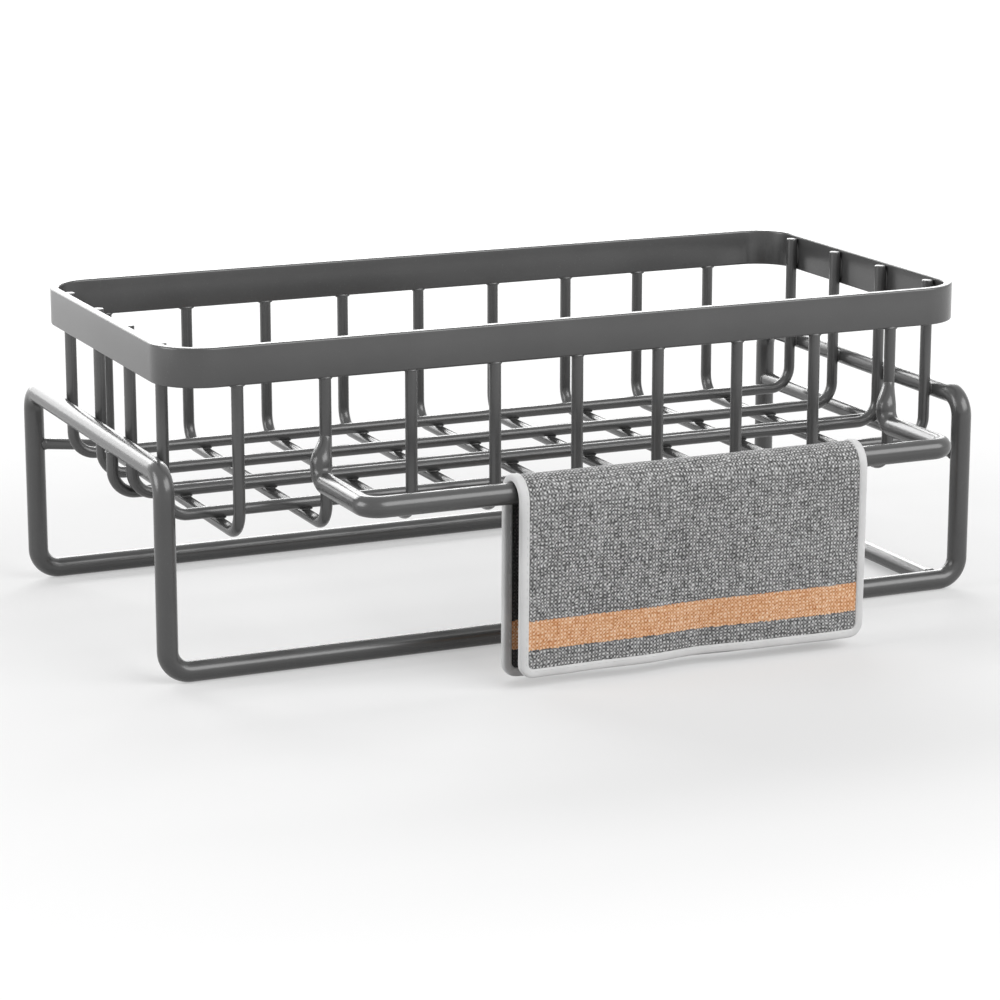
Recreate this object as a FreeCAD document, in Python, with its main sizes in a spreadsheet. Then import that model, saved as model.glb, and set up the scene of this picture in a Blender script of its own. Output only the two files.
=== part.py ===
import FreeCAD, Part
import Sketcher
import math
import os

# Kitchen sink caddy: a wire basket under a flat band rim, carried by a bent rod stand,
# with a towel rail on the front and a dish cloth folded over the rail.
# Millimetres, +Z up, origin on the counter below the middle of the rim, front at -Y.

Vector = FreeCAD.Vector

# Driving dimensions. Lengths are in millimetres.
DIMENSIONS = {
    # flat band rim
    "rim_length": 295,
    "rim_width": 140,
    "rim_corner": 17,
    "band_height": 13,
    "band_wall": 3,
    "band_edge": 0.6,
    # basket wires
    "wire_dia": 4,
    "wire_flat_count": 12,
    "wire_bend": 8,
    "cross_count": 9,
    "cross_inset": 10.5,
    "cross_shift": -3.5,
    "long_count": 4,
    "riser_inset": 3.5,
    "riser_drop": 1,
    "basket_depth": 58.5,
    # bent rod stand
    "rod_dia": 7,
    "rod_flat_count": 16,
    "stand_height": 73,
    "stand_inset": 4,
    "stand_overhang": 9,
    "stand_bend": 7.5,
    "support_drop": 14.5,
    "brace_dia": 6,
    "stretcher_inset": 9.5,
    # towel rail
    "towel_rise": 12.5,
    "towel_reach": 45,
    "towel_bend": 5.5,
    "towel_shift": -3.5,
    "lap_length": 3,
    # dish cloth
    "cloth_width": 126,
    "cloth_shift": 7,
    "cloth_thick": 1.6,
    "cloth_corner": 5,
    "cloth_gap": 0.3,
    "fold_radius": 5.5,
    "front_hem": 4,
    "back_hem": 1,
    "binding_width": 3,
    "binding_proud": 0.4,
}

# Which cross wires the towel rail is welded to, counted from the left.
LEFT_RAIL_WIRE = 2
RIGHT_RAIL_WIRE = DIMENSIONS["cross_count"]
# Which long wire the support wire lies behind, counted from the back.
SUPPORTED_WIRE = 3

# Places worked out from the driving dimensions, as expressions on the sheet.
RISER_X = "(size.rim_length / 2 - size.band_wall - size.wire_dia / 2)"
LEG_X = f"({RISER_X} + size.wire_dia / 2 + size.rod_dia / 2)"
WIRE_Y = "((size.rim_width - size.band_wall) / 2)"
FRONT_Y = "(size.stand_inset - size.rim_width / 2)"
BACK_Y = "(size.rim_width / 2 + size.stand_overhang)"
ROD_RADIUS = "(size.rod_dia / 2)"
FOOT_Z = ROD_RADIUS
BAR_Z = "(size.stand_height - size.rod_dia / 2)"
LEG_MIDDLE_Z = "(size.stand_height / 2)"
BAR_UNDERSIDE_Z = "(size.stand_height - size.rod_dia)"
LONG_Z = f"({BAR_UNDERSIDE_Z} - size.support_drop)"
CROSS_Z = f"({LONG_Z} - size.wire_dia)"
RIM_Z = f"({LONG_Z} + size.basket_depth)"
BAND_Z = f"({RIM_Z} - size.band_height)"
TOWEL_Z = f"({LONG_Z} + size.towel_rise)"
TOWEL_Y = f"(-{WIRE_Y} - size.towel_reach)"
TOWEL_ARM_Y = f"(-{WIRE_Y} - size.towel_reach / 2)"
TOWEL_END_Z = f"({TOWEL_Z} + size.towel_bend + size.lap_length)"
FOLD_Z = f"({TOWEL_Z} + {ROD_RADIUS} + size.cloth_gap - size.fold_radius)"
FIRST_CROSS_X = "(size.rim_corner + size.cross_inset - size.rim_length / 2)"
CROSS_PITCH = f"(-2 * {FIRST_CROSS_X} / (size.cross_count - 1))"
LAST_LONG_Y = "(size.rim_width / 2 - size.rim_corner - size.riser_inset)"
LONG_PITCH = f"(2 * {LAST_LONG_Y} / (size.long_count - 1))"

# The three planes a run of rod can be bent in: its two axes, its normal and the normal's sign.
PLANES = {
    "XY_Plane": ("X", "Y", "Z", ""),
    "XZ_Plane": ("X", "Z", "Y", "-"),
    "YZ_Plane": ("Y", "Z", "X", ""),
}
PLANE_ACROSS = {"X": "YZ_Plane", "Y": "XZ_Plane", "Z": "XY_Plane"}

doc = FreeCAD.newDocument("sink_caddy")
sheet = doc.addObject("Spreadsheet::Sheet", "size")
for row, (alias, number) in enumerate(DIMENSIONS.items(), start=1):
    sheet.set(f"A{row}", alias)
    sheet.set(f"B{row}", str(number))
    sheet.setAlias(f"B{row}", alias)
doc.recompute()


def value(expression):
    """The number that an expression on the sheet gives now."""
    result = sheet.evalExpression(expression)
    return float(getattr(result, "Value", result))


def cross_x(number):
    return f"({FIRST_CROSS_X} + {number - 1} * {CROSS_PITCH} + size.cross_shift)"


def long_y(number):
    return f"({LAST_LONG_Y} - {number - 1} * {LONG_PITCH})"


def rail_arm_x(number):
    """The towel rail's arms stand a little to one side of their cross wires."""
    return f"({cross_x(number)} + size.towel_shift)"


def u_corners(reach, top, floor):
    """Down, along the basket's floor and up again, alike on both sides."""
    return [(f"-{reach}", top), (f"-{reach}", floor), (reach, floor), (reach, top)]


def new_body(label):
    return doc.addObject("PartDesign::Body", label)


def new_sketch(body, name, plane, offset):
    """A sketch on one of the body's own planes; offset holds an expression for each world axis."""
    first, second, normal, sign = PLANES[plane]
    sketch = body.newObject("Sketcher::SketchObject", name)
    support = next(part for part in body.Origin.OriginFeatures if part.Role == plane)
    sketch.AttachmentSupport = [(support, "")]
    sketch.MapMode = "FlatFace"
    for axis, slot, prefix in ((first, "x", ""), (second, "y", ""), (normal, "z", sign)):
        if axis in offset:
            sketch.setExpression(f"AttachmentOffset.Base.{slot}", f"{prefix}({offset[axis]})")
    return sketch


def bind(sketch, constraint, expression):
    index = sketch.addConstraint(constraint)
    sketch.setExpression(f"Constraints[{index}]", expression)


def place_point(sketch, geometry, end, axis, expression):
    """Fix one coordinate of a line's end, measured from the sketch's origin."""
    distance = Sketcher.Constraint(f"Distance{axis}", -1, 1, geometry, end, value(expression))
    bind(sketch, distance, expression)


def corner_arc(sketch, before, corner, after, radius):
    """A tangent arc at a corner; gives its index and which end meets the run before it."""
    towards_before = (before - corner).normalize()
    towards_after = (after - corner).normalize()
    center = corner + (towards_before + towards_after) * radius
    left_turn = towards_before.cross(towards_after).z < 0
    start_side, end_side = (before, after) if left_turn else (after, before)
    start = corner + (start_side - corner).normalize() * radius - center
    end = corner + (end_side - corner).normalize() * radius - center
    circle = Part.Circle(center, Vector(0, 0, 1), radius)
    start_angle = math.atan2(start.y, start.x)
    end_angle = math.atan2(end.y, end.x)
    arc = sketch.addGeometry(Part.ArcOfCircle(circle, start_angle, end_angle))
    return arc, (1 if left_turn else 2)


def draw_bent_path(sketch, corners, bend):
    """Straight runs along the sketch's axes, joined at each corner by an arc of one radius."""
    points = [Vector(value(u), value(v), 0) for u, v in corners]
    radius = value(bend)
    last = len(points) - 1
    runs = []
    for index in range(last):
        direction = (points[index + 1] - points[index]).normalize()
        start = points[index] + direction * (radius if index > 0 else 0)
        end = points[index + 1] - direction * (radius if index + 1 < last else 0)
        runs.append(sketch.addGeometry(Part.LineSegment(start, end)))
    arcs = []
    for index in range(1, last):
        arc, near_end = corner_arc(sketch, *points[index - 1:index + 2], radius)
        far_end = 3 - near_end
        sketch.addConstraint(Sketcher.Constraint("Tangent", runs[index - 1], 2, arc, near_end))
        sketch.addConstraint(Sketcher.Constraint("Tangent", runs[index], 1, arc, far_end))
        arcs.append(arc)
    bind(sketch, Sketcher.Constraint("Radius", arcs[0], radius), bend)
    for arc in arcs[1:]:
        sketch.addConstraint(Sketcher.Constraint("Equal", arcs[0], arc))
    for index, run in enumerate(runs):
        (u, v), (next_u, next_v) = corners[index:index + 2]
        upright = u == next_u
        sketch.addConstraint(Sketcher.Constraint("Vertical" if upright else "Horizontal", run))
        place_point(sketch, run, 1, "X" if upright else "Y", u if upright else v)
        if index == 0:
            place_point(sketch, run, 1, "Y" if upright else "X", v if upright else u)
        if index == last - 1:
            place_point(sketch, run, 2, "Y" if upright else "X", next_v if upright else next_u)


def corner_radius(stock):
    """How far the section's corners lie from its middle; the diameter is across its flats."""
    return f"(size.{stock}_dia / 2 / cos(180 / size.{section_flats(stock)}))"


def section_flats(stock):
    return "wire_flat_count" if stock == "brace" else f"{stock}_flat_count"


def draw_section(sketch, stock):
    """Near-round stock, with a flat towards each axis, so that pieces lie flat on each other."""
    count = DIMENSIONS[section_flats(stock)]
    reach = corner_radius(stock)
    radius = value(reach)
    outer = sketch.addGeometry(Part.Circle(Vector(0, 0, 0), Vector(0, 0, 1), radius), True)
    sketch.addConstraint(Sketcher.Constraint("Coincident", outer, 3, -1, 1))
    bind(sketch, Sketcher.Constraint("Radius", outer, radius), reach)
    angles = [(index - 0.5) * 2 * math.pi / count for index in range(count)]
    corners = [Vector(math.cos(angle), math.sin(angle), 0) * radius for angle in angles]
    lines = [Part.LineSegment(corners[index - 1], corners[index]) for index in range(count)]
    flats = [sketch.addGeometry(line) for line in lines]
    for index, flat in enumerate(flats):
        sketch.addConstraint(Sketcher.Constraint("Coincident", flats[index - 1], 2, flat, 1))
        sketch.addConstraint(Sketcher.Constraint("PointOnObject", flat, 1, outer))
    for flat in flats[1:]:
        sketch.addConstraint(Sketcher.Constraint("Equal", flats[0], flat))
    sketch.addConstraint(Sketcher.Constraint("Vertical", flats[1]))


def add_bent_run(body, name, plane, offset, corners, bend, stock):
    """Sweep a stock section along a path that is bent in one plane."""
    first, second, normal, _ = PLANES[plane]
    path = new_sketch(body, f"{name}_path", plane, {normal: offset})
    draw_bent_path(path, corners, bend)
    start_u, start_v = corners[0]
    start_axis = second if start_u == corners[1][0] else first
    start = {first: start_u, second: start_v, normal: offset}
    section = new_sketch(body, f"{name}_section", PLANE_ACROSS[start_axis], start)
    draw_section(section, stock)
    pipe = body.newObject("PartDesign::AdditivePipe", name)
    pipe.Profile = section
    pipe.Spine = path
    return pipe


def draw_rounded_rectangle(sketch, length, width, radius):
    """A rounded rectangle centred on the sketch's origin."""
    half_length, half_width, round_size = value(length) / 2, value(width) / 2, value(radius)
    corners = [Vector(-half_length, -half_width, 0), Vector(half_length, -half_width, 0),
               Vector(half_length, half_width, 0), Vector(-half_length, half_width, 0)]
    sides = []
    for index, corner in enumerate(corners):
        following = corners[(index + 1) % 4]
        direction = (following - corner).normalize() * round_size
        sides.append(sketch.addGeometry(Part.LineSegment(corner + direction, following - direction)))
    arcs = []
    for index, corner in enumerate(corners):
        before, after = corners[index - 1], corners[(index + 1) % 4]
        arc, near_end = corner_arc(sketch, before, corner, after, round_size)
        sketch.addConstraint(Sketcher.Constraint("Tangent", sides[index - 1], 2, arc, near_end))
        sketch.addConstraint(Sketcher.Constraint("Tangent", sides[index], 1, arc, 3 - near_end))
        arcs.append(arc)
    for side, direction in zip(sides, ("Horizontal", "Vertical", "Horizontal", "Vertical")):
        sketch.addConstraint(Sketcher.Constraint(direction, side))
    for arc in arcs[1:]:
        sketch.addConstraint(Sketcher.Constraint("Equal", arcs[0], arc))
    sketch.addConstraint(Sketcher.Constraint("Symmetric", arcs[0], 3, arcs[2], 3, -1, 1))
    bind(sketch, Sketcher.Constraint("Radius", arcs[0], round_size), radius)
    left, right = sides[3], sides[1]
    bottom, top = sides[0], sides[2]
    bind(sketch, Sketcher.Constraint("DistanceX", left, 1, right, 1, 2 * half_length), length)
    bind(sketch, Sketcher.Constraint("DistanceY", bottom, 1, top, 1, 2 * half_width), width)


def make_rim():
    """Flat bar bent on edge into a rounded rectangle, with softened edges."""
    body = new_body("rim_band")
    outside = new_sketch(body, "band_outside", "XY_Plane", {"Z": BAND_Z})
    draw_rounded_rectangle(outside, "size.rim_length", "size.rim_width", "size.rim_corner")
    pad = body.newObject("PartDesign::Pad", "band_block")
    pad.Profile = outside
    pad.setExpression("Length", "size.band_height")
    inside = new_sketch(body, "band_inside", "XY_Plane", {"Z": BAND_Z})
    draw_rounded_rectangle(inside, "size.rim_length - 2 * size.band_wall",
                           "size.rim_width - 2 * size.band_wall",
                           "size.rim_corner - size.band_wall")
    pocket = body.newObject("PartDesign::Pocket", "band_opening")
    pocket.Profile = inside
    pocket.Reversed = True
    pocket.setExpression("Length", "size.band_height")
    doc.recompute()
    level_edges = [f"Edge{index}" for index, edge in enumerate(pocket.Shape.Edges, start=1)
                   if edge.BoundBox.ZLength < 0.001]
    chamfer = body.newObject("PartDesign::Chamfer", "band_soft_edges")
    chamfer.Base = (pocket, level_edges)
    chamfer.setExpression("Size", "size.band_edge")
    return body


def make_cross_wires():
    """U wires across the basket; their tops stand under the long sides of the band."""
    bodies = []
    for number in range(1, DIMENSIONS["cross_count"] + 1):
        body = new_body(f"cross_wire_{number}")
        corners = u_corners(WIRE_Y, BAND_Z, CROSS_Z)
        add_bent_run(body, "bent_wire", "YZ_Plane", "0", corners, "size.wire_bend", "wire")
        body.setExpression("Placement.Base.x", cross_x(number))
        bodies.append(body)
    return bodies


def make_long_wires():
    """U wires along the basket on the cross wires; their risers lie inside the band's ends."""
    bodies = []
    riser_top = f"({RIM_Z} - size.riser_drop)"
    for number in range(1, DIMENSIONS["long_count"] + 1):
        body = new_body(f"long_wire_{number}")
        corners = u_corners(RISER_X, riser_top, LONG_Z)
        add_bent_run(body, "bent_wire", "XZ_Plane", "0", corners, "size.wire_bend", "wire")
        body.setExpression("Placement.Base.y", long_y(number))
        bodies.append(body)
    return bodies


def make_support_wire():
    """A wire beside one long wire, with ends that turn up under the stand's top bars."""
    body = new_body("support_wire")
    corners = u_corners(LEG_X, BAR_UNDERSIDE_Z, LONG_Z)
    add_bent_run(body, "bent_wire", "XZ_Plane", "0", corners, "size.wire_bend", "wire")
    body.setExpression("Placement.Base.y", f"{long_y(SUPPORTED_WIRE)} + size.wire_dia")
    return body


def make_stand_frame(side, sign):
    """Half of the stand: front rail, front leg, top bar, back leg and back rail in one rod."""
    body = new_body(f"stand_frame_{side}")
    leg_x = f"({sign}{LEG_X})"
    for name, y in (("front", FRONT_Y), ("end", None), ("back", BACK_Y)):
        if name == "end":
            plane, offset = "YZ_Plane", leg_x
            corners = [(FRONT_Y, LEG_MIDDLE_Z), (FRONT_Y, BAR_Z), (BACK_Y, BAR_Z), (BACK_Y, LEG_MIDDLE_Z)]
        else:
            plane, offset = "XZ_Plane", y
            corners = [("0", FOOT_Z), (leg_x, FOOT_Z), (leg_x, LEG_MIDDLE_Z)]
        add_bent_run(body, f"{name}_run", plane, offset, corners, "size.stand_bend", "rod")
    return body


def make_towel_rail():
    """One rod: a rail, two arms, and upturned ends lapped on two cross wires."""
    body = new_body("towel_rail")
    left = rail_arm_x(LEFT_RAIL_WIRE)
    right = rail_arm_x(RIGHT_RAIL_WIRE)
    apart = f"({corner_radius('wire')} + {corner_radius('rod')})"
    lap_y = f"(-{WIRE_Y} - sqrt({apart} ^ 2 - size.towel_shift ^ 2))"
    riser = [(lap_y, TOWEL_END_Z), (lap_y, TOWEL_Z), (TOWEL_ARM_Y, TOWEL_Z)]
    rail = [(left, TOWEL_ARM_Y), (left, TOWEL_Y), (right, TOWEL_Y), (right, TOWEL_ARM_Y)]
    for name, plane, offset, corners in (("left_arm", "YZ_Plane", left, riser),
                                         ("rail", "XY_Plane", TOWEL_Z, rail),
                                         ("right_arm", "YZ_Plane", right, riser)):
        add_bent_run(body, name, plane, offset, corners, "size.towel_bend", "rod")
    return body


def crossbar_z():
    """The crossbar's height, where it lies under the bend of the support wire's end."""
    apart = f"(size.wire_bend + {corner_radius('wire')} + {corner_radius('brace')})"
    return f"({LONG_Z} + size.wire_bend - sqrt({apart} ^ 2 - size.wire_bend ^ 2))"


def make_brace(label, x, z, frame):
    """A straight bar from front to back between two rods of the stand, coped to fit them."""
    bar = doc.addObject("Part::Prism", f"{label}_bar")
    bar.Polygon = DIMENSIONS[section_flats("brace")]
    lay_down = FreeCAD.Rotation(Vector(1, 0, 0), -90)
    bar.Placement.Rotation = lay_down.multiply(FreeCAD.Rotation(Vector(0, 0, 1), 180 / bar.Polygon))
    bar.setExpression("Circumradius", corner_radius("brace"))
    bar.setExpression("Height", f"{BACK_Y} - {FRONT_Y}")
    bar.setExpression("Placement.Base.x", x)
    bar.setExpression("Placement.Base.y", FRONT_Y)
    bar.setExpression("Placement.Base.z", z)
    brace = doc.addObject("Part::Cut", label)
    brace.Base = bar
    brace.Tool = frame
    return brace


def make_rear_tie(frame, wire):
    """A short wire from the left back leg to the back bend of the first cross wire."""
    turn = "cos(45)"
    bend_y = f"({WIRE_Y} - size.wire_bend * (1 - {turn}))"
    tie_z = f"({CROSS_Z} + size.wire_bend * (1 - {turn}))"
    across = f"({cross_x(1)} + {LEG_X})"
    along = f"({bend_y} - {BACK_Y})"
    stop_short = "size.wire_dia / 8"
    bar = new_body("rear_tie_bar")
    section = new_sketch(bar, "tie_section", "YZ_Plane", {})
    draw_section(section, "wire")
    pad = bar.newObject("PartDesign::Pad", "tie_length")
    pad.Profile = section
    pad.setExpression("Length", f"sqrt({across} ^ 2 + {along} ^ 2) - {stop_short}")
    bar.setExpression("Placement.Base.x", f"-{LEG_X}")
    bar.setExpression("Placement.Base.y", BACK_Y)
    bar.setExpression("Placement.Base.z", tie_z)
    bar.setExpression("Placement.Rotation.Yaw", f"atan({along} / {across})")
    ends = doc.addObject("Part::MultiFuse", "rear_tie_ends")
    ends.Shapes = [frame, wire]
    tie = doc.addObject("Part::Cut", "rear_tie")
    tie.Base = bar
    tie.Tool = ends
    return tie


def make_folded_sheet(label, inset, inner_radius, outer_radius):
    """Cloth folded over the towel rail, its outline drawn in from the edge by inset."""
    body = new_body(label)
    middle = f"(({rail_arm_x(LEFT_RAIL_WIRE)} + {rail_arm_x(RIGHT_RAIL_WIRE)}) / 2)"
    origin = {"X": f"{middle} + size.cloth_shift", "Y": TOWEL_Y, "Z": FOLD_Z}
    profile = new_sketch(body, "fold", "YZ_Plane", origin)
    front_drop = f"({FOLD_Z} - size.front_hem - {inset})"
    back_drop = f"({FOLD_Z} - size.back_hem - {inset})"
    arcs = []
    for radius in (inner_radius, outer_radius):
        circle = Part.Circle(Vector(0, 0, 0), Vector(0, 0, 1), value(radius))
        arc = profile.addGeometry(Part.ArcOfCircle(circle, 0, math.pi))
        profile.addConstraint(Sketcher.Constraint("Coincident", arc, 3, -1, 1))
        bind(profile, Sketcher.Constraint("Radius", arc, value(radius)), radius)
        arcs.append(arc)
    for end, sign, drop in ((1, 1, back_drop), (2, -1, front_drop)):
        panel_lines = []
        for arc, radius in zip(arcs, (inner_radius, outer_radius)):
            top = Vector(sign * value(radius), 0, 0)
            bottom = top - Vector(0, value(drop), 0)
            line = profile.addGeometry(Part.LineSegment(top, bottom))
            profile.addConstraint(Sketcher.Constraint("Tangent", arc, end, line, 1))
            profile.addConstraint(Sketcher.Constraint("Vertical", line))
            place_point(profile, line, 2, "Y", f"-{drop}")
            panel_lines.append((line, bottom))
        (inner_line, inner_end), (outer_line, outer_end) = panel_lines
        hem = profile.addGeometry(Part.LineSegment(inner_end, outer_end))
        profile.addConstraint(Sketcher.Constraint("Coincident", inner_line, 2, hem, 1))
        profile.addConstraint(Sketcher.Constraint("Coincident", outer_line, 2, hem, 2))
    pad = body.newObject("PartDesign::Pad", "sheet")
    pad.Profile = profile
    pad.SideType = "Symmetric"
    pad.setExpression("Length", f"size.cloth_width - 2 * {inset}")
    doc.recompute()
    corner_edges = []
    whole = pad.Shape.BoundBox
    for index, edge in enumerate(pad.Shape.Edges, start=1):
        box = edge.BoundBox
        at_end = min(abs(box.XMin - whole.XMin), abs(box.XMax - whole.XMax)) < 0.01
        below_fold = box.ZMax < value(LONG_Z)
        if box.XLength < 0.01 and box.ZLength < 0.01 and at_end and below_fold:
            corner_edges.append(f"Edge{index}")
    fillet = body.newObject("PartDesign::Fillet", "rounded_corners")
    fillet.Base = (pad, corner_edges)
    fillet.setExpression("Radius", f"size.cloth_corner - {inset}")
    return body


def make_cloth():
    """The woven panel, and the thicker binding that wraps its edge all round."""
    binding_inner = "size.fold_radius"
    cloth_inner = f"({binding_inner} + size.binding_proud)"
    cloth_outer = f"({cloth_inner} + size.cloth_thick)"
    binding_outer = f"({cloth_outer} + size.binding_proud)"
    panel = make_folded_sheet("dish_cloth", "size.binding_width", cloth_inner, cloth_outer)
    whole = make_folded_sheet("binding_whole", "0", binding_inner, binding_outer)
    window_inner = f"({binding_inner} - size.binding_proud)"
    window_outer = f"({binding_outer} + size.binding_proud)"
    window = make_folded_sheet("binding_window", "size.binding_width", window_inner, window_outer)
    binding = doc.addObject("Part::Cut", "cloth_binding")
    binding.Base = whole
    binding.Tool = window
    return [panel, binding]


rim = make_rim()
cross_wires = make_cross_wires()
long_wires = make_long_wires()
support_wire = make_support_wire()
left_frame = make_stand_frame("left", "-")
right_frame = make_stand_frame("right", "")
crossbar = make_brace("end_crossbar", LEG_X, crossbar_z(), right_frame)
stretcher = make_brace("end_stretcher", f"{LEG_X} - size.stretcher_inset", FOOT_Z, right_frame)
rear_tie = make_rear_tie(left_frame, cross_wires[0])
towel_rail = make_towel_rail()
cloth = make_cloth()
doc.recompute()

sub_parts = [rim, *cross_wires, *long_wires, support_wire, left_frame, right_frame,
             crossbar, stretcher, rear_tie, towel_rail, *cloth]

for item in doc.Objects:
    if {"Invalid", "Error"} & set(item.State):
        raise RuntimeError(f"{item.Label} failed: {item.State}")
for part in sub_parts:
    if part.Shape.isNull() or not part.Shape.isValid() or len(part.Shape.Solids) != 1:
        raise RuntimeError(f"{part.Label} is not one sound solid")

os.makedirs("parts", exist_ok=True)
for part in sub_parts:
    part.Shape.exportStep(f"parts/{part.Label}.step")
    print(f"{part.Label}: {part.Shape.Volume:.1f} mm3")
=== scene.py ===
import math
import random

import bmesh
import bpy
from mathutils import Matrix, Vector


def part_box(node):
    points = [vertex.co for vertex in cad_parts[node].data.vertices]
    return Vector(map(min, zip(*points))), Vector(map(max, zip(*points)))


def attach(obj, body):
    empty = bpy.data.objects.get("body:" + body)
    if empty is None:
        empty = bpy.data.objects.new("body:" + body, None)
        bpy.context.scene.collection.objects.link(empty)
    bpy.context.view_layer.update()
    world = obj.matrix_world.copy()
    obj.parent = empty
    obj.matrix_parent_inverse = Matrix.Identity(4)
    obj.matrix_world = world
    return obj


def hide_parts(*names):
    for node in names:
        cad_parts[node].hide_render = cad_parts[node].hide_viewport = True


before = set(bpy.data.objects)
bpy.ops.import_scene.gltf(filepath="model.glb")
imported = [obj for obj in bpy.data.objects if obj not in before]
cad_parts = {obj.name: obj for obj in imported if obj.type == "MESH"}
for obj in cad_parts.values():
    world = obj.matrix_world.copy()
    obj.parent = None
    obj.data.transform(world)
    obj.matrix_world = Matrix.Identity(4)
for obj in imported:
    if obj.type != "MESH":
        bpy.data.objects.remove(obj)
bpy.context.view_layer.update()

mm = 0.001
scene = bpy.context.scene
steelBody = "caddy"
clothBody = "cloth"
print("frame loaded,", len(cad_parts), "nodes")


# Colours and nodes

def hexColor(code):
    # sRGB hex to the linear values that shaders take
    channels = [int(code[i:i + 2], 16) / 255 for i in (1, 3, 5)]
    linear = [c / 12.92 if c <= 0.04045 else ((c + 0.055) / 1.055) ** 2.4 for c in channels]
    return (*linear, 1.0)


def addNode(tree, kind, settings=None, inputs=None, links=None, stops=None):
    node = tree.nodes.new(kind)
    for name, setting in (settings or {}).items():
        setattr(node, name, setting)
    for socket, number in (inputs or {}).items():
        node.inputs[socket].default_value = number
    for socket, source in (links or {}).items():
        tree.links.new(source, node.inputs[socket])
    for index, (place, code) in enumerate(stops or []):
        elements = node.color_ramp.elements
        element = elements[index] if index < len(elements) else elements.new(place)
        element.position = place
        element.color = hexColor(code)
    return node


def newMaterial(name):
    material = bpy.data.materials.new(name)
    material.use_nodes = True
    tree = material.node_tree
    return material, tree, tree.nodes["Principled BSDF"]


# Steel: polyester powder coat, baked on, so it is satin with a faint orange peel

coatSet = {
    "color": "#454545",
    "paler": "#4d4d4d",
    "toneStops": (0.35, 0.68),  # of the cloud noise, from where to where the tone changes
    "roughness": (0.2, 0.3),
    "ior": 1.6,                 # of a cured resin
    "peelWidth": 1.1 * mm,      # orange peel, drawn about twice as wide as it is, or it would not show
    "peelHeight": 0.014 * mm,
    "peelStrength": 0.4,
    "gritWidth": 0.35 * mm,     # powder grit, drawn coarser, because the real one is too fine to show
    "cloudWidth": 35 * mm,
    "details": {"cloud": 3.0, "grit": 1.0, "peel": 1.5},
}


def makePowderCoat():
    material, tree, shader = newMaterial("powderCoatedSteelCharcoal")
    place = addNode(tree, "ShaderNodeTexCoord").outputs["Object"]
    noises = {}
    for name, detail in coatSet["details"].items():
        noises[name] = addNode(tree, "ShaderNodeTexNoise",
                               inputs={"Scale": 1 / coatSet[name + "Width"], "Detail": detail},
                               links={"Vector": place}).outputs["Fac"]
    darkStop, paleStop = coatSet["toneStops"]
    color = addNode(tree, "ShaderNodeValToRGB", links={"Fac": noises["cloud"]},
                    stops=[(darkStop, coatSet["color"]), (paleStop, coatSet["paler"])])
    smooth, rough = coatSet["roughness"]
    roughness = addNode(tree, "ShaderNodeMapRange", inputs={"To Min": smooth, "To Max": rough},
                        links={"Value": noises["grit"]})
    bump = addNode(tree, "ShaderNodeBump",
                   inputs={"Strength": coatSet["peelStrength"], "Distance": coatSet["peelHeight"]},
                   links={"Height": noises["peel"]})
    tree.links.new(color.outputs["Color"], shader.inputs["Base Color"])
    tree.links.new(roughness.outputs["Result"], shader.inputs["Roughness"])
    tree.links.new(bump.outputs["Normal"], shader.inputs["Normal"])
    shader.inputs["IOR"].default_value = coatSet["ior"]
    return material


# Mesh helpers

meshSet = {
    "crispAngle": math.radians(60),     # cut ends keep a crisp rim, so that the sides shade straight
    "leadShare": 0.2,                   # of the bend, how near to it a straight run has one more ring
    "endStep": math.pi / 8,             # turn between the rings of a softened end
    "upright": 0.9,                     # a tube that starts steeper than this is set out from X, not Z
}


def makePiece(name, points, faces, material, body, uv=None):
    mesh = bpy.data.meshes.new(name)
    mesh.from_pydata([tuple(point) for point in points], [], faces)
    if uv:
        layer = mesh.uv_layers.new(name="cloth")
        for loop in mesh.loops:
            layer.data[loop.index].uv = uv[loop.vertex_index]
    mesh.materials.append(material)
    shell = bmesh.new()
    shell.from_mesh(mesh)
    bmesh.ops.recalc_face_normals(shell, faces=shell.faces)
    shell.to_mesh(mesh)
    shell.free()
    mesh.shade_smooth()
    mesh.set_sharp_from_angle(angle=meshSet["crispAngle"])
    piece = bpy.data.objects.new(name, mesh)
    scene.collection.objects.link(piece)
    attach(piece, body)
    return piece


def spread(start, end, step):
    # even places from start to end, about step apart
    count = max(2, round((end - start) / step))
    return [start + (end - start) * index / count for index in range(count + 1)]


def bendPath(corners, bend, steps, closed=False):
    # straight runs with a quarter circle at each corner
    count = len(corners)
    lead = 1 + meshSet["leadShare"]
    inner = range(count) if closed else range(1, count - 1)
    path = [] if closed else [corners[0]]
    for index in inner:
        corner = corners[index]
        into = (corners[index - 1] - corner).normalized()
        away = (corners[(index + 1) % count] - corner).normalized()
        centre = corner + (into + away) * bend
        path.append(corner + into * bend * lead)
        for step in range(steps + 1):
            turn = math.pi / 2 * step / steps
            path.append(centre - away * bend * math.cos(turn) - into * bend * math.sin(turn))
        path.append(corner + away * bend * lead)
    if not closed:
        path.append(corners[-1])
    return path


def ringFaces(rings, sides, closed):
    faces = []
    for ring in range(rings if closed else rings - 1):
        start, after = ring * sides, (ring + 1) % rings * sides
        for side in range(sides):
            beside = (side + 1) % sides
            faces.append((start + side, start + beside, after + beside, after + side))
    if not closed:
        faces.append(tuple(range(sides - 1, -1, -1)))
        faces.append(tuple(range((rings - 1) * sides, rings * sides)))
    return faces


def shiftFaces(faces, start):
    # the same faces, for points that come later in the list
    return [tuple(start + index for index in face) for face in faces]


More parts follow.
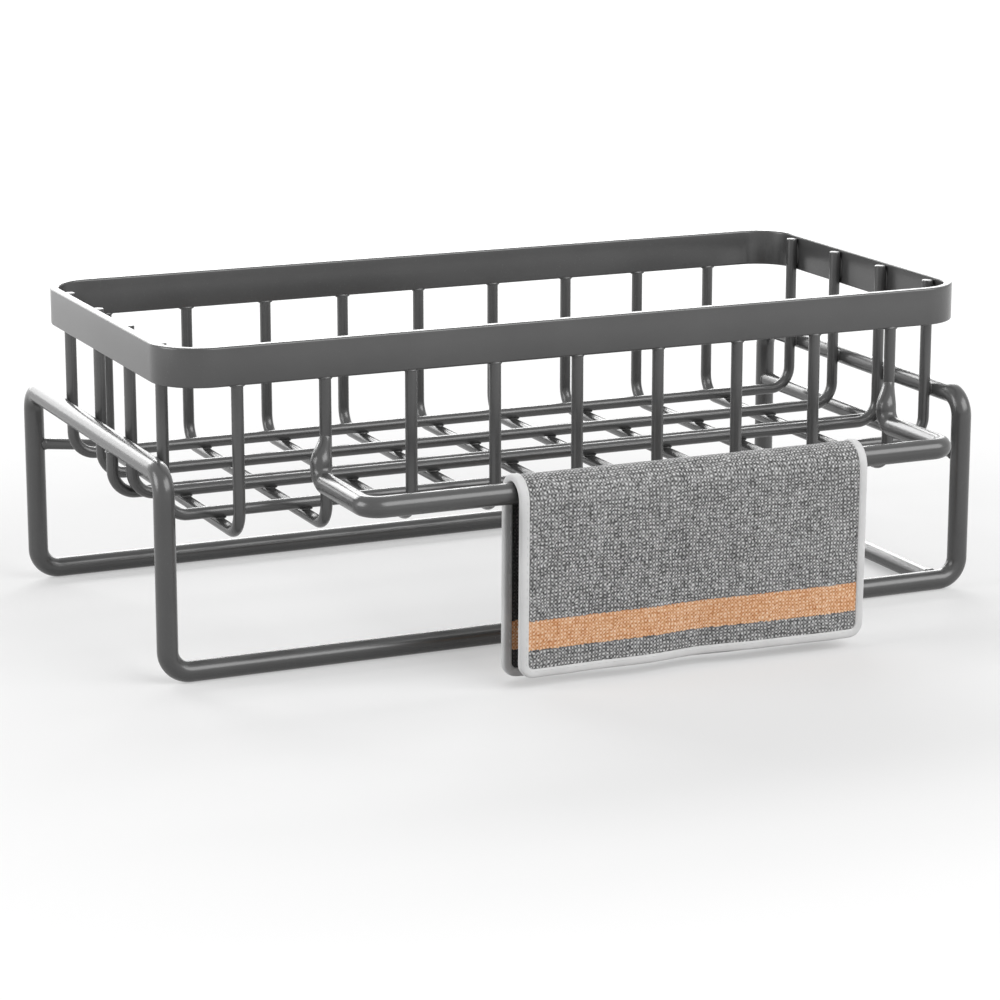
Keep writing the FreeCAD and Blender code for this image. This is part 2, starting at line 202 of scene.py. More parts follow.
def tubeRings(path, sizes, closed, endRound):
    # centre, direction and radius of each ring, with a softened edge at open ends
    count = len(path)
    rings = []
    for index, point in enumerate(path):
        before = path[index - 1] if closed or index else point
        after = path[(index + 1) % count] if closed or index + 1 < count else point
        rings.append((point, (after - before).normalized(), sizes[index]))
    if endRound and not closed:
        (head, headway, radius), (tail, tailway, _) = rings[0], rings[-1]
        turns = spread(0.0, math.pi / 2, meshSet["endStep"])
        arc = [(1 - math.cos(turn), 1 - math.sin(turn)) for turn in turns]
        first = [(head + headway * endRound * along, headway, radius - endRound * inward)
                 for along, inward in arc]
        last = [(tail - tailway * endRound * along, tailway, radius - endRound * inward)
                for along, inward in reversed(arc)]
        rings = first + rings[1:-1] + last
    return rings


def makeTube(name, path, radius, sides, material, closed=False, endRound=0.0, sizes=None):
    rings = tubeRings(path, sizes or [radius] * len(path), closed, endRound)
    spare = Vector((0, 0, 1)) if abs(rings[0][1].z) < meshSet["upright"] else Vector((1, 0, 0))
    across = rings[0][1].cross(spare).normalized()
    frames = []
    for centre, direction, size in rings:
        across = (across - direction * across.dot(direction)).normalized()
        frames.append((centre, across, direction.cross(across), size))
    twist = 0.0
    if closed:
        # a closed loop comes back turned, so the turn is shared out along it
        first, upward = frames[0][1], frames[0][2]
        back = across - rings[0][1] * across.dot(rings[0][1])
        twist = -math.atan2(back.dot(upward), back.dot(first)) / len(rings)
    points = []
    for index, (centre, across, upward, size) in enumerate(frames):
        for side in range(sides):
            angle = 2 * math.pi * side / sides + twist * index
            points.append(centre + (across * math.cos(angle) + upward * math.sin(angle)) * size)
    return makePiece(name, points, ringFaces(len(rings), sides, closed), material, steelBody)


def standFor(piece, *nodeNames):
    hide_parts(*nodeNames)


# Rim: flat bar bent on edge, its long edges rolled smooth

rimSet = {"wall": 3.0 * mm, "corner": 17.0 * mm, "edge": 0.7 * mm, "cornerSteps": 20, "edgeSteps": 4}


def roundedRectangle(halfX, halfY, radius, steps):
    # points and outward directions, going round from the right side's foot
    outline = []
    for quarter, (signX, signY) in enumerate(((1, 1), (-1, 1), (-1, -1), (1, -1))):
        centre = Vector((signX * (halfX - radius), signY * (halfY - radius), 0))
        for step in range(steps + 1):
            angle = math.pi / 2 * (quarter + step / steps)
            outward = Vector((math.cos(angle), math.sin(angle), 0))
            outline.append((centre + outward * radius, outward))
    return outline


def makeRim(steel):
    low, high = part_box("rim_band")
    halfWall = rimSet["wall"] / 2
    outline = roundedRectangle(high.x - halfWall, high.y - halfWall, rimSet["corner"] - halfWall,
                               rimSet["cornerSteps"])
    section = roundedRectangle(halfWall, (high.z - low.z) / 2, rimSet["edge"], rimSet["edgeSteps"])
    middleZ = (low.z + high.z) / 2
    points = [spot + outward * side.x + Vector((0, 0, middleZ + side.y))
              for spot, outward in outline for side, _ in section]
    rim = makePiece("rimBand", points, ringFaces(len(outline), len(section), True), steel, steelBody)
    standFor(rim, "rim_band")


# Basket wires

wireSet = {"bend": 8.0 * mm, "sides": 28, "bendSteps": 12, "endRound": 0.4 * mm}
crossWires = sorted(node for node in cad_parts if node.startswith("cross_wire"))
longWires = sorted(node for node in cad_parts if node.startswith("long_wire"))


def uPath(low, high, radius, along, across):
    # a wire that goes down, along the floor and up again, read from its CAD box
    middle = (low[across] + high[across]) / 2
    near, far = low[along] + radius, high[along] - radius
    corners = []
    for place, height in ((near, high.z), (near, low.z + radius), (far, low.z + radius), (far, high.z)):
        corner = Vector((0, 0, height))
        corner[along] = place
        corner[across] = middle
        corners.append(corner)
    return bendPath(corners, wireSet["bend"], wireSet["bendSteps"])


def makeBasketWires(steel):
    for node in (*crossWires, *longWires, "support_wire"):
        along, across = (1, 0) if node in crossWires else (0, 1)
        low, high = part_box(node)
        radius = (high[across] - low[across]) / 2
        path = uPath(low, high, radius, along, across)
        endRound = wireSet["endRound"] if node in longWires else 0.0
        words = node.split("_")
        name = words[0] + "".join(word.capitalize() for word in words[1:])
        wire = makeTube(name, path, radius, wireSet["sides"], steel, endRound=endRound)
        standFor(wire, node)


# Stand and towel rail: heavier rod, cold bent

standSet = {"dia": 7.0 * mm, "bend": 7.5 * mm, "sides": 36, "bendSteps": 16}
railSet = {
    "dia": 7.0 * mm,
    "bend": 5.5 * mm,
    "sides": 36,
    "bendSteps": 14,
    "drawnOut": 9.0 * mm,       # its ends are drawn out and lie smooth against their wires
    "drawnSteps": 12,
    "tipShare": 0.95,
}


def makeStand(steel):
    radius = standSet["dia"] / 2
    low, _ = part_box("stand_frame_left")
    _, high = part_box("stand_frame_right")
    left, right = low.x + radius, high.x - radius
    front, back = low.y + radius, high.y - radius
    foot, top = low.z + radius, high.z - radius
    corners = [Vector(corner) for corner in (
        (left, front, foot), (right, front, foot), (right, front, top), (right, back, top),
        (right, back, foot), (left, back, foot), (left, back, top), (left, front, top))]
    path = bendPath(corners, standSet["bend"], standSet["bendSteps"], closed=True)
    stand = makeTube("standLoop", path, radius, standSet["sides"], steel, closed=True)
    standFor(stand, "stand_frame_left", "stand_frame_right")


def drawnEnd(stub, wire):
    # from the top of the bend into the wire beside it, as points and radii
    radius = railSet["dia"] / 2
    low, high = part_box(wire)
    wireRadius = (high.x - low.x) / 2
    tip = Vector((low.x + wireRadius, low.y + wireRadius, stub.z))
    points, sizes = [], []
    for step in range(1, railSet["drawnSteps"] + 1):
        share = step / railSet["drawnSteps"]
        ease = share * share * (3 - 2 * share)      # slow at both ends
        points.append(stub.lerp(tip, ease) + Vector((0, 0, railSet["drawnOut"] * share)))
        sizes.append(radius + (wireRadius * railSet["tipShare"] - radius) * ease)
    return points, sizes


def makeTowelRail(steel):
    radius = railSet["dia"] / 2
    low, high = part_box("towel_rail")
    left, right = low.x + radius, high.x - radius
    railY, lapY = low.y + radius, high.y - radius
    railZ = low.z + radius
    corners = [Vector(corner) for corner in (
        (left, lapY, high.z), (left, lapY, railZ), (left, railY, railZ),
        (right, railY, railZ), (right, lapY, railZ), (right, lapY, high.z))]
    bent = bendPath(corners, railSet["bend"], railSet["bendSteps"])[2:-2]
    (leftPoints, leftSizes), (rightPoints, rightSizes) = (
        drawnEnd(bent[0], crossWires[1]), drawnEnd(bent[-1], crossWires[-1]))
    path = leftPoints[::-1] + bent + rightPoints
    sizes = leftSizes[::-1] + [radius] * len(bent) + rightSizes
    rail = makeTube("towelRail", path, radius, railSet["sides"], steel, sizes=sizes)
    standFor(rail, "towel_rail")


def tieEnds():
    # from the left back leg to the back bend of the first cross wire
    radius = standSet["dia"] / 2
    low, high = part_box("rear_tie")
    wireLow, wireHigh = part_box("cross_wire_1")
    standLow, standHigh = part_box("stand_frame_left")
    middleZ = (low.z + high.z) / 2
    inBend = wireSet["bend"] * (1 - math.cos(math.pi / 4))
    start = Vector((standLow.x + radius, standHigh.y - radius, middleZ))
    end = Vector(((wireLow.x + wireHigh.x) / 2, wireHigh.y - (high.z - low.z) / 2 - inBend, middleZ))
    return start, end, (high.z - low.z) / 2


def makeBraces(steel):
    # straight bars run a little into the rods that their CAD ends are coped to
    runIn = standSet["dia"] / 4
    for node, name in (("end_crossbar", "endCrossbar"), ("end_stretcher", "endStretcher")):
        low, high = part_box(node)
        middle = (low + high) / 2
        ends = [Vector((middle.x, y, middle.z)) for y in (low.y - runIn, high.y + runIn)]
        standFor(makeTube(name, ends, (high.z - low.z) / 2, standSet["sides"], steel), node)
    start, end, radius = tieEnds()
    standFor(makeTube("rearTie", [start, end], radius, wireSet["sides"], steel), "rear_tie")


# Welds: small beads under the coat, wherever one bar is fixed to another

weldSet = {
    # half sizes of each kind of bead in mm, along X, Y and Z
    "crossing": (2.1, 2.1, 0.55),
    "wireTop": (2.7, 1.9, 0.9),
    "riserInBand": (0.7, 2.1, 5.0),
    "riserOnBar": (0.75, 2.1, 2.4),
    "supportEnd": (2.7, 2.7, 0.9),
    "braceEnd": (3.4, 1.0, 3.4),
    "tieEnd": (2.3, 2.3, 2.3),
    "tack": (3.5, 0.7, 0.7),
    "tackCount": 5,             # along the support wire
    "collarIn": 1.0 * mm,       # how far from a brace's end its bead lies
    "unevenness": 0.12,
    "around": 12,
    "upward": 7,
    "seed": 5,
}


def middleOf(node):
    low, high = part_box(node)
    return (low + high) / 2


def weldSpots():
    # places and kinds, all read from where the CAD pieces touch
    spots = []
    supportLow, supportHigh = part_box("support_wire")
    wireRadius = (supportHigh.y - supportLow.y) / 2
    bandLow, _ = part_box("rim_band")
    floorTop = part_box(longWires[0])[0].z
    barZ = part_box("stand_frame_left")[1].z - standSet["dia"] / 2
    for cross in crossWires:
        x = middleOf(cross).x
        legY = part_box(cross)[1].y - wireRadius
        spots += [("crossing", (x, middleOf(wire).y, floorTop)) for wire in (*longWires, "support_wire")]
        spots += [("wireTop", (x, y, bandLow.z)) for y in (-legY, legY)]
    for wire in longWires:
        low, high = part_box(wire)
        for x in (low.x, high.x):
            spots.append(("riserInBand", (x, middleOf(wire).y, (bandLow.z + high.z) / 2)))
            spots.append(("riserOnBar", (x, middleOf(wire).y, barZ)))
    for x in (supportLow.x + wireRadius, supportHigh.x - wireRadius):
        spots.append(("supportEnd", (x, middleOf("support_wire").y, supportHigh.z)))
    for index in range(weldSet["tackCount"]):
        share = (index + 1) / (weldSet["tackCount"] + 1)
        x = supportLow.x + (supportHigh.x - supportLow.x) * share
        spots.append(("tack", (x, supportLow.y, supportLow.z + wireRadius)))
    for brace in ("end_crossbar", "end_stretcher"):
        low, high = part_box(brace)
        middle = middleOf(brace)
        for y in (low.y + weldSet["collarIn"], high.y - weldSet["collarIn"]):
            spots.append(("braceEnd", (middle.x, y, middle.z)))
    start, end, _ = tieEnds()
    alongTie = (end - start).normalized()
    spots.append(("tieEnd", start + alongTie * standSet["dia"] / 2))
    spots.append(("tieEnd", end - alongTie * wireRadius))
    return spots


def makeWelds(steel):
    draw = random.Random(weldSet["seed"])
    around, upward = weldSet["around"], weldSet["upward"]
    points, faces = [], []
    spots = weldSpots()
    for kind, place in spots:
        sizes = [size * mm * (1 + weldSet["unevenness"] * draw.uniform(-1, 1)) for size in weldSet[kind]]
        start = len(points)
        for row in range(1, upward):
            tilt = math.pi * row / upward
            girth = math.sin(tilt)
            for side in range(around):
                turn = 2 * math.pi * side / around
                shape = (girth * math.cos(turn), girth * math.sin(turn), math.cos(tilt))
                points.append(Vector(place) + Vector([a * b for a, b in zip(shape, sizes)]))
        faces += shiftFaces(ringFaces(upward - 1, around, False), start)
    welds = makePiece("weldBeads", points, faces, steel, steelBody)
    print("welds:", len(spots))


# Cloth: woven polyester, folded over the rail, its edge bound with tape

clothSet = {
    "thick": 1.6 * mm,
    "frontHem": 4.0 * mm,       # how high the front hem hangs above the counter
    "inset": 1.6 * mm,          # the panel ends inside the binding
    "step": 1.5 * mm,
    "bow": 2.4 * mm,            # how far the middle of each hem hangs in towards the other
    "bowPower": 2,              # how late the bow and the ripples come in on the way down to the hem
    "ripples": [(0.8 * mm, 2.1, 0.1), (0.4 * mm, 3.7, 0.35)],     # size, waves across the cloth, start
    "ripplePower": 1.5,
    "stripe": (9.3 * mm, 19.0 * mm),    # from the hem
}


def foldShape():
    low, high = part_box("cloth_binding")
    outer = (high.y - low.y) / 2
    middleRadius = outer - tapeSet["thick"] / 2
    centreZ = high.z - outer
    arc = middleRadius * math.pi / 2
    return {
        "left": low.x, "right": high.x,
        "y": (low.y + high.y) / 2, "z": centreZ,
        "radius": middleRadius, "arc": arc,
        "front": arc + centreZ - clothSet["frontHem"],
        "back": arc + centreZ - low.z,
    }


def sway(fold, x, along):
    # slack in the hanging halves, none at the rail
    hang = max(0.0, (abs(along) - fold["arc"]) / (fold["back"] - fold["arc"]))
    share = (x - fold["left"]) / (fold["right"] - fold["left"])
    inward = -math.copysign(1.0, along)
    bow = clothSet["bow"] * inward * math.sin(math.pi * share) * hang ** clothSet["bowPower"]
    ripples = sum(size * math.sin(2 * math.pi * (waves * share + start))
                  for size, waves, start in clothSet["ripples"])
    return bow + hang ** clothSet["ripplePower"] * ripples


def foldPoint(fold, x, along, lift):
    # along is the distance from the fold's crown, negative to the front
    side = -1.0 if along < 0 else 1.0
    reach = fold["radius"] + lift
    if abs(along) <= fold["arc"]:
        turn = along / fold["radius"]
        return Vector((x, fold["y"] + reach * math.sin(turn), fold["z"] + reach * math.cos(turn)))
    drop = abs(along) - fold["arc"]
    return Vector((x, fold["y"] + side * reach + sway(fold, x, along), fold["z"] - drop))


def makeClothPanel(fold, face, reverse):
    inset, half = clothSet["inset"], clothSet["thick"] / 2
    columns = spread(fold["left"] + inset, fold["right"] - inset, clothSet["step"])
    rows = spread(-fold["front"] + inset, fold["back"] - inset, clothSet["step"])
    points, uv, faces = [], [], []
    for lift in (half, -half):
        for along in rows:
            for x in columns:
                points.append(foldPoint(fold, x, along, lift))
                uv.append((x, along))
    width, height = len(columns), len(rows)
    layer = width * height
    for row in range(height - 1):
        for column in range(width - 1):
            corner = row * width + column
            outer = (corner, corner + 1, corner + width + 1, corner + width)
            faces.append(outer)
            faces.append(tuple(index + layer for index in reversed(outer)))
    border = [*range(width), *range(2 * width - 1, layer, width),
              *range(layer - 2, layer - width - 1, -1), *range(layer - 2 * width, 0, -width)]
    for index, first in enumerate(border):
        second = border[(index + 1) % len(border)]
        faces.append((second, first, first + layer, second + layer))
    panel = makePiece("dishCloth", points, faces, face, clothBody, uv)
    panel.data.materials.append(reverse)
    for polygon in panel.data.polygons:
        polygon.material_index = int(min(polygon.vertices) >= layer)    # the inner faces, turned to each other across the fold, are drawn near black: painted shade between the two halves
    return panel


# Binding: ribbed polyester tape, folded over the edge, so it gives close ribs and a soft sheen

tapeSet = {
    "width": 3.0 * mm,
    "thick": 2.4 * mm,
    "corner": 5.0 * mm,
    "step": 1.5 * mm,
    "cornerSteps": 12,
    "hemRound": 0.15 * mm,
    "hemDepth": 0.5 * mm,
    "crown": 0.15 * mm,
    "square": 0.6,              # how flat its folded edge is, from 1 for a round one
    "foldStep": math.pi / 14,   # turn between the points of the folded edge
    "light": "#e4e4e4",
    "dark": "#d8d8d8",
    "soilWidth": 16 * mm,       # faint uneven tone
    "soilDetail": 3.0,
    "soilStops": (0.3, 0.7),
    "rib": 0.5 * mm,            # ribs across it, drawn a little wider than they are
    "ribHeight": 0.06 * mm,
    "ribStrength": 0.25,
    "ribWaver": 0.4,
    "roughness": 0.7,
    "sheen": 0.1,
}


def makeTape():
    material, tree, shader = newMaterial("polyesterBindingTape")
    flat = addNode(tree, "ShaderNodeUVMap", {"uv_map": "cloth"}).outputs["UV"]
    ribScale = math.pi / 10 / tapeSet["rib"]        # a wave texture of scale 1 has a band every pi / 10
    ribs = addNode(tree, "ShaderNodeTexWave", {"bands_direction": "X"},
                   {"Scale": ribScale, "Distortion": tapeSet["ribWaver"]}, {"Vector": flat})
    soil = addNode(tree, "ShaderNodeTexNoise", {"noise_dimensions": "2D"},
                   {"Scale": 1 / tapeSet["soilWidth"], "Detail": tapeSet["soilDetail"]}, {"Vector": flat})
    darkStop, lightStop = tapeSet["soilStops"]
    color = addNode(tree, "ShaderNodeValToRGB", links={"Fac": soil.outputs["Fac"]},
                    stops=[(darkStop, tapeSet["dark"]), (lightStop, tapeSet["light"])])
    bump = addNode(tree, "ShaderNodeBump",
                   inputs={"Strength": tapeSet["ribStrength"], "Distance": tapeSet["ribHeight"]},
                   links={"Height": ribs.outputs["Fac"]})
    tree.links.new(color.outputs["Color"], shader.inputs["Base Color"])
    tree.links.new(bump.outputs["Normal"], shader.inputs["Normal"])
    shader.inputs["Roughness"].default_value = tapeSet["roughness"]
    shader.inputs["Sheen Weight"].default_value = tapeSet["sheen"]
    return material


def flatOutline(fold, inset, step):
    # a line all round the flat cloth, as points with their inward directions
    halfX = (fold["right"] - fold["left"]) / 2 - inset
    halfY = (fold["front"] + fold["back"]) / 2 - inset
    centre = Vector(((fold["left"] + fold["right"]) / 2, (fold["back"] - fold["front"]) / 2, 0))
    corners = roundedRectangle(halfX, halfY, tapeSet["corner"] - inset, tapeSet["cornerSteps"])
    outline = []
    for index, (spot, outward) in enumerate(corners):
        outline.append((centre + spot, -outward))
        following = corners[(index + 1) % len(corners)][0]
        gap = (following - spot).length
        if gap > 2 * step:
            count = round(gap / step)
            outline += [(centre + spot.lerp(following, part / count), -outward)
                        for part in range(1, count)]
    return outline


def makeBinding(fold, material):
    half, width = tapeSet["thick"] / 2, tapeSet["width"]
    hem = [(width - tapeSet["hemRound"], half), (width, half - tapeSet["hemRound"]),
           (width, half - tapeSet["hemDepth"])]
    section = [(depth, -lift) for depth, lift in reversed(hem)]
    for angle in spread(-math.pi / 2, math.pi / 2, tapeSet["foldStep"]):
        along, up = math.cos(angle), math.sin(angle)
        section.append((half * (1 - abs(along) ** tapeSet["square"]),
                        half * math.copysign(abs(up) ** tapeSet["square"], up)))
    section += hem
    outline = flatOutline(fold, 0.0, tapeSet["step"])
    points, uv = [], []
    travelled = 0.0
    for index, (spot, inward) in enumerate(outline):
        travelled += (spot - outline[index - 1][0]).length if index else 0.0
        for depth, lift in section:
            flat = spot + inward * depth
            crown = tapeSet["crown"] * math.sin(math.pi * depth / width)
            points.append(foldPoint(fold, flat.x, flat.y, lift + math.copysign(crown, lift)))
            uv.append((travelled, math.copysign(depth, lift)))
    return makePiece("clothBinding", points, ringFaces(len(outline), len(section), True), material,
                     clothBody, uv)


# Stitches: one row of thread through the tape, on both its faces

stitchSet = {
    "inset": 2.3 * mm,
    "length": 2.0 * mm,
    "pitch": 2.8 * mm,
    "dia": 0.42 * mm,
    "walk": 0.35 * mm,          # how finely the row is stepped along to find where stitches lie
    "tip": 0.12,                # how blunt the ends are, from 0 for a point
    "sunk": 0.75,               # in radii, how deep the thread is pulled in
    "flatness": 0.8,            # its height for its width
    "sides": 6,
    "rings": 6,
}


def makeStitches(fold, material):
    outline = flatOutline(fold, stitchSet["inset"], stitchSet["walk"])
    half, length = tapeSet["thick"] / 2, stitchSet["length"]
    rings, sides, radius = stitchSet["rings"], stitchSet["sides"], stitchSet["dia"] / 2
    tip, sunk, flatness = stitchSet["tip"], stitchSet["sunk"], stitchSet["flatness"]
    starts, travelled = [], 0.0
    for index in range(1, len(outline)):
        travelled += (outline[index][0] - outline[index - 1][0]).length
        if travelled >= stitchSet["pitch"]:
            starts.append(outline[index])
            travelled -= stitchSet["pitch"]
    points, uv, faces = [], [], []
    for spot, inward in starts:
        forward = Vector((inward.y, -inward.x, 0))
        for face in (1, -1):
            first = len(points)
            for ring in range(rings):
                share = ring / (rings - 1)
                swell = math.sin(math.pi * (tip + (1 - 2 * tip) * share))
                middle = spot + forward * length * (share - 0.5)
                for side in range(sides):
                    angle = 2 * math.pi * side / sides
                    flat = middle + inward * radius * swell * math.cos(angle)
                    lift = half + radius * (swell - sunk + flatness * swell * math.sin(angle))
                    points.append(foldPoint(fold, flat.x, flat.y, face * lift))
                    uv.append((length * share, face * stitchSet["inset"]))
            faces += shiftFaces(ringFaces(rings, sides, False), first)
    return makePiece("bindingStitches", points, faces, material, clothBody, uv)


# Weave: plain weave of uneven pale and dark yarns, so it gives rows of small pale knots

weaveSet = {
    "yarn": 0.62 * mm,          # from one yarn to the next
    "uneven": 0.5,
    "wanderWidth": 6.0 * mm,
    "wanderReach": 1.5 * mm,
    "wanderDetail": 1.0,
    "knotEdge": (0.2, 0.7),     # in yarns, from where a knot starts to fall away to the pit
    "base": 0.478,
    "crossing": 0.29,           # how much pale and dark knots differ
    "lean": 0.4,                # how far the pale knots stand in rows, from 0 for a checker
    "knotShare": 0.56,          # how much single knots differ
    "streaks": [(0.5, 0.05, 0.22), (0.05, 0.5, 0.18), (0.08, 0.025, 0.1)],  # across, along, share
    "streakDetail": 2.0,
    "streakMean": 0.5,          # what the noise varies about
    "grey": [(0.0, "#1c1c1c"), (0.33, "#606060"), (0.66, "#a4a4a4"), (1.0, "#e8e8e8")],
    # near black, for the cloth's inner faces: painted shade between its two halves
    "reverse": [(0.0, "#0c0c0c"), (0.33, "#202020"), (0.66, "#383838"), (1.0, "#585858")],
    "orange": [(0.0, "#ac622c"), (0.33, "#d99866"), (0.66, "#f0bf96"), (1.0, "#ffe4ca")],
    "height": 0.2 * mm,
    "strength": 0.4,
    "roughness": 0.9,
    "sheen": 0.15,
}


def makeWeave(fold, name, ground):
    material, tree, shader = newMaterial(name)
    flat = addNode(tree, "ShaderNodeUVMap", {"uv_map": "cloth"}).outputs["UV"]
    # soft yarn wanders a little from a square grid
    wander = addNode(tree, "ShaderNodeTexNoise", {"noise_dimensions": "2D"},
                     {"Scale": 1 / weaveSet["wanderWidth"], "Detail": weaveSet["wanderDetail"]},
                     {"Vector": flat})
    moved = addNode(tree, "ShaderNodeVectorMath", {"operation": "MULTIPLY_ADD"},
                    {1: [weaveSet["wanderReach"]] * 3}, {0: wander.outputs["Color"], 2: flat})
    knots = addNode(tree, "ShaderNodeVectorMath", {"operation": "SCALE"},
                    {"Scale": 1 / weaveSet["yarn"]}, {0: moved.outputs["Vector"]}).outputs["Vector"]
    cells = addNode(tree, "ShaderNodeTexVoronoi", {"voronoi_dimensions": "2D"},
                    {"Scale": 1.0, "Randomness": weaveSet["uneven"]}, {"Vector": knots})
    top, pit = weaveSet["knotEdge"]
    knuckle = addNode(tree, "ShaderNodeMapRange", {"interpolation_type": "SMOOTHSTEP"},
                      {"From Min": top, "From Max": pit, "To Min": 1.0, "To Max": 0.0},
                      {"Value": cells.outputs["Distance"]}).outputs["Result"]
    # tone of each knot: which yarn is on top, its own dye, and streaks along both yarns
    turns = addNode(tree, "ShaderNodeVectorMath", {"operation": "SCALE"}, {"Scale": math.pi}, {0: knots})
    waves = addNode(tree, "ShaderNodeVectorMath", {"operation": "COSINE"},
                    links={0: turns.outputs["Vector"]})
    leaning = addNode(tree, "ShaderNodeVectorMath", {"operation": "ADD"}, {1: [weaveSet["lean"]] * 3},
                      {0: waves.outputs["Vector"]})
    sides = addNode(tree, "ShaderNodeSeparateXYZ", links={0: leaning.outputs["Vector"]})
    onTop = addNode(tree, "ShaderNodeMath", {"operation": "MULTIPLY"},
                    links={0: sides.outputs["X"], 1: sides.outputs["Y"]})
    tone = addNode(tree, "ShaderNodeMath", {"operation": "MULTIPLY_ADD"},
                   {1: weaveSet["crossing"], 2: weaveSet["base"] - weaveSet["knotShare"] / 2},
                   {0: onTop.outputs[0]}).outputs[0]
    tone = addNode(tree, "ShaderNodeMath", {"operation": "MULTIPLY_ADD"}, {1: weaveSet["knotShare"]},
                   {0: cells.outputs["Color"], 2: tone}).outputs[0]
    for across, down, share in weaveSet["streaks"]:
        drawn = addNode(tree, "ShaderNodeVectorMath", {"operation": "MULTIPLY"},
                        {1: (across, down, 1.0)}, {0: knots})
        streak = addNode(tree, "ShaderNodeTexNoise", {"noise_dimensions": "2D"},
                         {"Scale": 1.0, "Detail": weaveSet["streakDetail"]},
                         {"Vector": drawn.outputs["Vector"]})
        centred = addNode(tree, "ShaderNodeMath", {"operation": "SUBTRACT"},
                          {1: weaveSet["streakMean"]}, {0: streak.outputs["Fac"]})
        tone = addNode(tree, "ShaderNodeMath", {"operation": "MULTIPLY_ADD"}, {1: share},
                       {0: centred.outputs[0], 2: tone}).outputs[0]
    grey, orange = [addNode(tree, "ShaderNodeValToRGB", links={"Fac": tone},
                            stops=weaveSet[dye]).outputs["Color"] for dye in (ground, "orange")]
    # the stripe lies at one distance from both hems, and single knots make its edges uneven
    along = addNode(tree, "ShaderNodeSeparateXYZ", links={0: flat}).outputs["Y"]
    jagged = addNode(tree, "ShaderNodeMath", {"operation": "MULTIPLY_ADD"}, {1: weaveSet["yarn"]},
                     {0: cells.outputs["Color"], 2: along})
    near, far = clothSet["stripe"]
    middle, half = (near + far) / 2, (far - near) / 2
    bands = [addNode(tree, "ShaderNodeMath", {"operation": "COMPARE"},
                     {1: place + weaveSet["yarn"] / 2, 2: half}, {0: jagged.outputs[0]}).outputs[0]
             for place in (middle - fold["front"], fold["back"] - middle)]
    band = addNode(tree, "ShaderNodeMath", {"operation": "MAXIMUM"}, links={0: bands[0], 1: bands[1]})
    color = addNode(tree, "ShaderNodeMix", {"data_type": "RGBA"},
                    links={"Factor": band.outputs[0], "A": grey, "B": orange})
    bump = addNode(tree, "ShaderNodeBump",
                   inputs={"Strength": weaveSet["strength"], "Distance": weaveSet["height"]},
                   links={"Height": knuckle})
    tree.links.new(color.outputs["Result"], shader.inputs["Base Color"])
    tree.links.new(bump.outputs["Normal"], shader.inputs["Normal"])
    shader.inputs["Roughness"].default_value = weaveSet["roughness"]
    shader.inputs["Sheen Weight"].default_value = weaveSet["sheen"]
    return material


def makeCloth():
    fold = foldShape()
    tape = makeTape()
    # the second weave is near black and goes on the inner faces: painted shade between the two halves
    panel = makeClothPanel(fold, makeWeave(fold, "wovenPolyesterHeather", "grey"),
                           makeWeave(fold, "wovenPolyesterReverse", "reverse"))
    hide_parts("dish_cloth")
    binding = makeBinding(fold, tape)
    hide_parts("cloth_binding")
    stitches = makeStitches(fold, tape)


# Studio: pale floor, white surround, soft lights

studioSet = {
    "floor": "#bcbcbc",
    "floorHalf": 6.0,           # metres, as all places and sizes here
    "floorDrop": 0.05 * mm,     # just clear of the rails
    "floorRoughness": 0.9,
    "floorGlow": (0.38, 1.0),   # lifts the paper to white for the lens, less where its shadows lie
    "glowReach": (0.2, 1.6),    # from the middle, where the glow starts to rise and where it is full
    "surround": 0.15,           # what the white surround gives as light
    "lamps": [
        {"name": "frontBox", "place": (0.67, -1.18, 1.02), "width": 1.6, "height": 1.0, "power": 22.0},
        {"name": "leftBox", "place": (-1.6, 0.1, 0.7), "width": 1.0, "height": 0.9, "power": 15.0},
        {"name": "backWall", "place": (0.3, 2.7, 0.8), "width": 4.0, "height": 1.3, "power": 50.0},
        {"name": "backBox", "place": (0.2, 1.85, 1.2), "width": 2.4, "height": 0.5, "power": 32.0},
    ],
    "aim": (0.0, 0.0, 0.05),
}


def whiteToLens(tree):
    # 1 where the lens, a reflection or a clear material looks straight at it
    path = addNode(tree, "ShaderNodeLightPath")
    both = addNode(tree, "ShaderNodeMath", {"operation": "MAXIMUM"},
                   links={0: path.outputs["Is Camera Ray"], 1: path.outputs["Is Glossy Ray"]})
    return addNode(tree, "ShaderNodeMath", {"operation": "MAXIMUM"},
                   links={0: both.outputs[0], 1: path.outputs["Is Transmission Ray"]}).outputs[0]


def makeFloor():
    # matt paper without gloss, so it shows only the shadow
    half, level = studioSet["floorHalf"], -studioSet["floorDrop"]
    corners = ((-half, -half), (half, -half), (half, half), (-half, half))
    mesh = bpy.data.meshes.new("floor")
    mesh.from_pydata([(x, y, level) for x, y in corners], [], [(0, 1, 2, 3)])
    material, tree, shader = newMaterial("paperSweepPale")
    shader.inputs["Base Color"].default_value = hexColor(studioSet["floor"])
    shader.inputs["Roughness"].default_value = studioSet["floorRoughness"]
    shader.inputs["Specular IOR Level"].default_value = 0.0
    shader.inputs["Emission Color"].default_value = (1, 1, 1, 1)
    place = addNode(tree, "ShaderNodeNewGeometry").outputs["Position"]
    away = addNode(tree, "ShaderNodeVectorMath", {"operation": "LENGTH"},
                   links={0: place}).outputs["Value"]
    (near, far), (low, high) = studioSet["glowReach"], studioSet["floorGlow"]
    lift = addNode(tree, "ShaderNodeMapRange",
                   inputs={"From Min": near, "From Max": far, "To Min": low, "To Max": high},
                   links={"Value": away})
    glow = addNode(tree, "ShaderNodeMath", {"operation": "MULTIPLY"},
                   links={0: whiteToLens(tree), 1: lift.outputs["Result"]})
    tree.links.new(glow.outputs[0], shader.inputs["Emission Strength"])
    mesh.materials.append(material)
    floor = bpy.data.objects.new("floor", mesh)
    scene.collection.objects.link(floor)


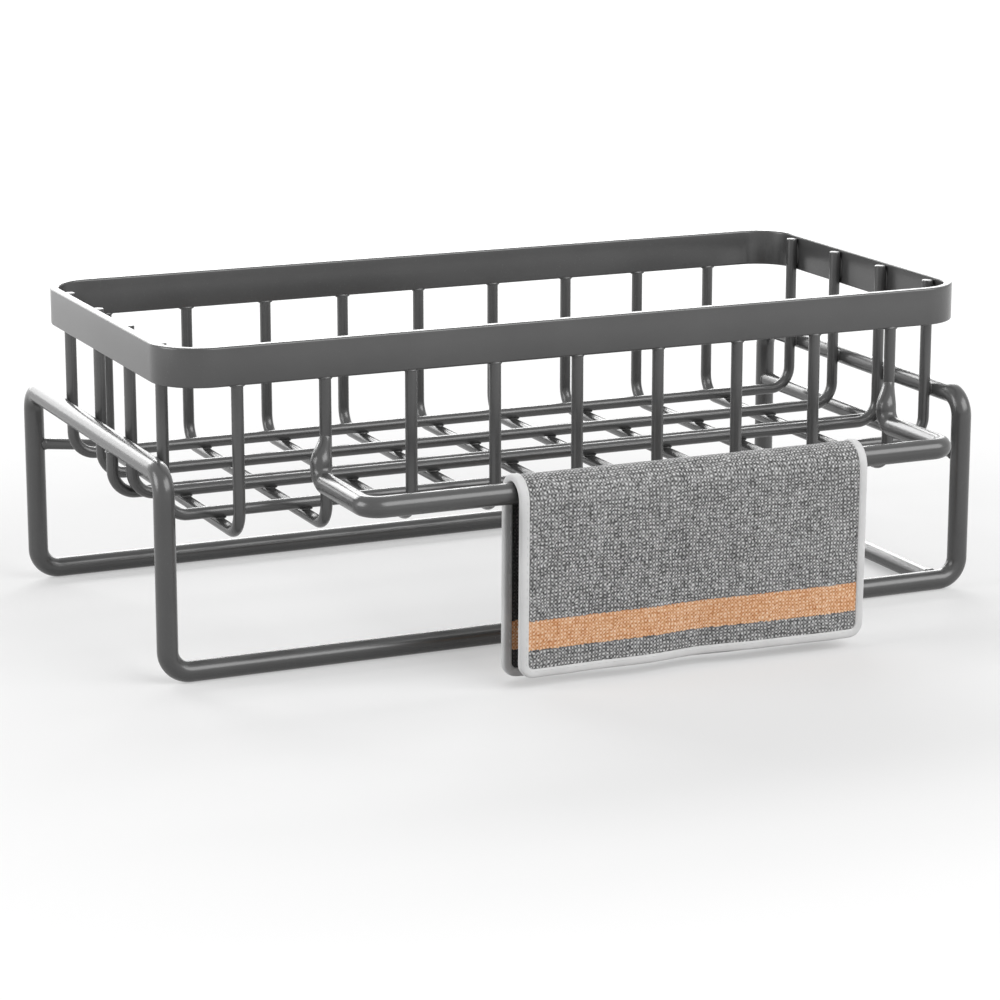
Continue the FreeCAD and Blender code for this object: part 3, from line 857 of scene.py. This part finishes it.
def makeLights():
    for settings in studioSet["lamps"]:
        lamp = bpy.data.lights.new(settings["name"], "AREA")
        lamp.shape = "RECTANGLE"
        lamp.size = settings["width"]
        lamp.size_y = settings["height"]
        lamp.energy = settings["power"]
        holder = bpy.data.objects.new(settings["name"], lamp)
        holder.location = settings["place"]
        aim = Vector(studioSet["aim"]) - holder.location
        holder.rotation_euler = aim.to_track_quat("-Z", "Y").to_euler()
        holder.visible_camera = False
        scene.collection.objects.link(holder)
    world = bpy.data.worlds.new("studio")
    scene.world = world
    world.use_nodes = True
    tree = world.node_tree
    surround = tree.nodes["Background"]
    surround.inputs["Color"].default_value = (1, 1, 1, 1)
    strength = addNode(tree, "ShaderNodeMapRange",
                       inputs={"To Min": studioSet["surround"], "To Max": 1.0},
                       links={"Value": whiteToLens(tree)})
    tree.links.new(strength.outputs["Result"], surround.inputs["Strength"])


# Camera, fitted to the straight edges of the rim and stand

cameraSet = {
    "azimuth": -24.10,          # degrees from the front
    "elevation": 13.68,
    "distance": 1.201,          # metres
    "target": (-0.0011, 0.0, 0.032),
    "lens": 121.65,             # millimetres
    "sensor": 36.0,
}


def makeCamera():
    turn, rise = math.radians(cameraSet["azimuth"]), math.radians(cameraSet["elevation"])
    back = Vector((math.sin(turn) * math.cos(rise), -math.cos(turn) * math.cos(rise), math.sin(rise)))
    lens = bpy.data.cameras.new("camera")
    lens.sensor_width = cameraSet["sensor"]
    lens.lens = cameraSet["lens"]
    camera = bpy.data.objects.new("camera", lens)
    camera.location = Vector(cameraSet["target"]) + back * cameraSet["distance"]
    camera.rotation_euler = (-back).to_track_quat("-Z", "Y").to_euler()
    scene.collection.objects.link(camera)
    scene.camera = camera


scene.view_settings.view_transform = "Standard"
makeCamera()
makeFloor()
makeLights()
print("studio ready")

steel = makePowderCoat()
makeRim(steel)
makeBasketWires(steel)
makeStand(steel)
makeTowelRail(steel)
makeBraces(steel)
makeWelds(steel)
print("steel pieces ready")

makeCloth()
print("cloth ready")
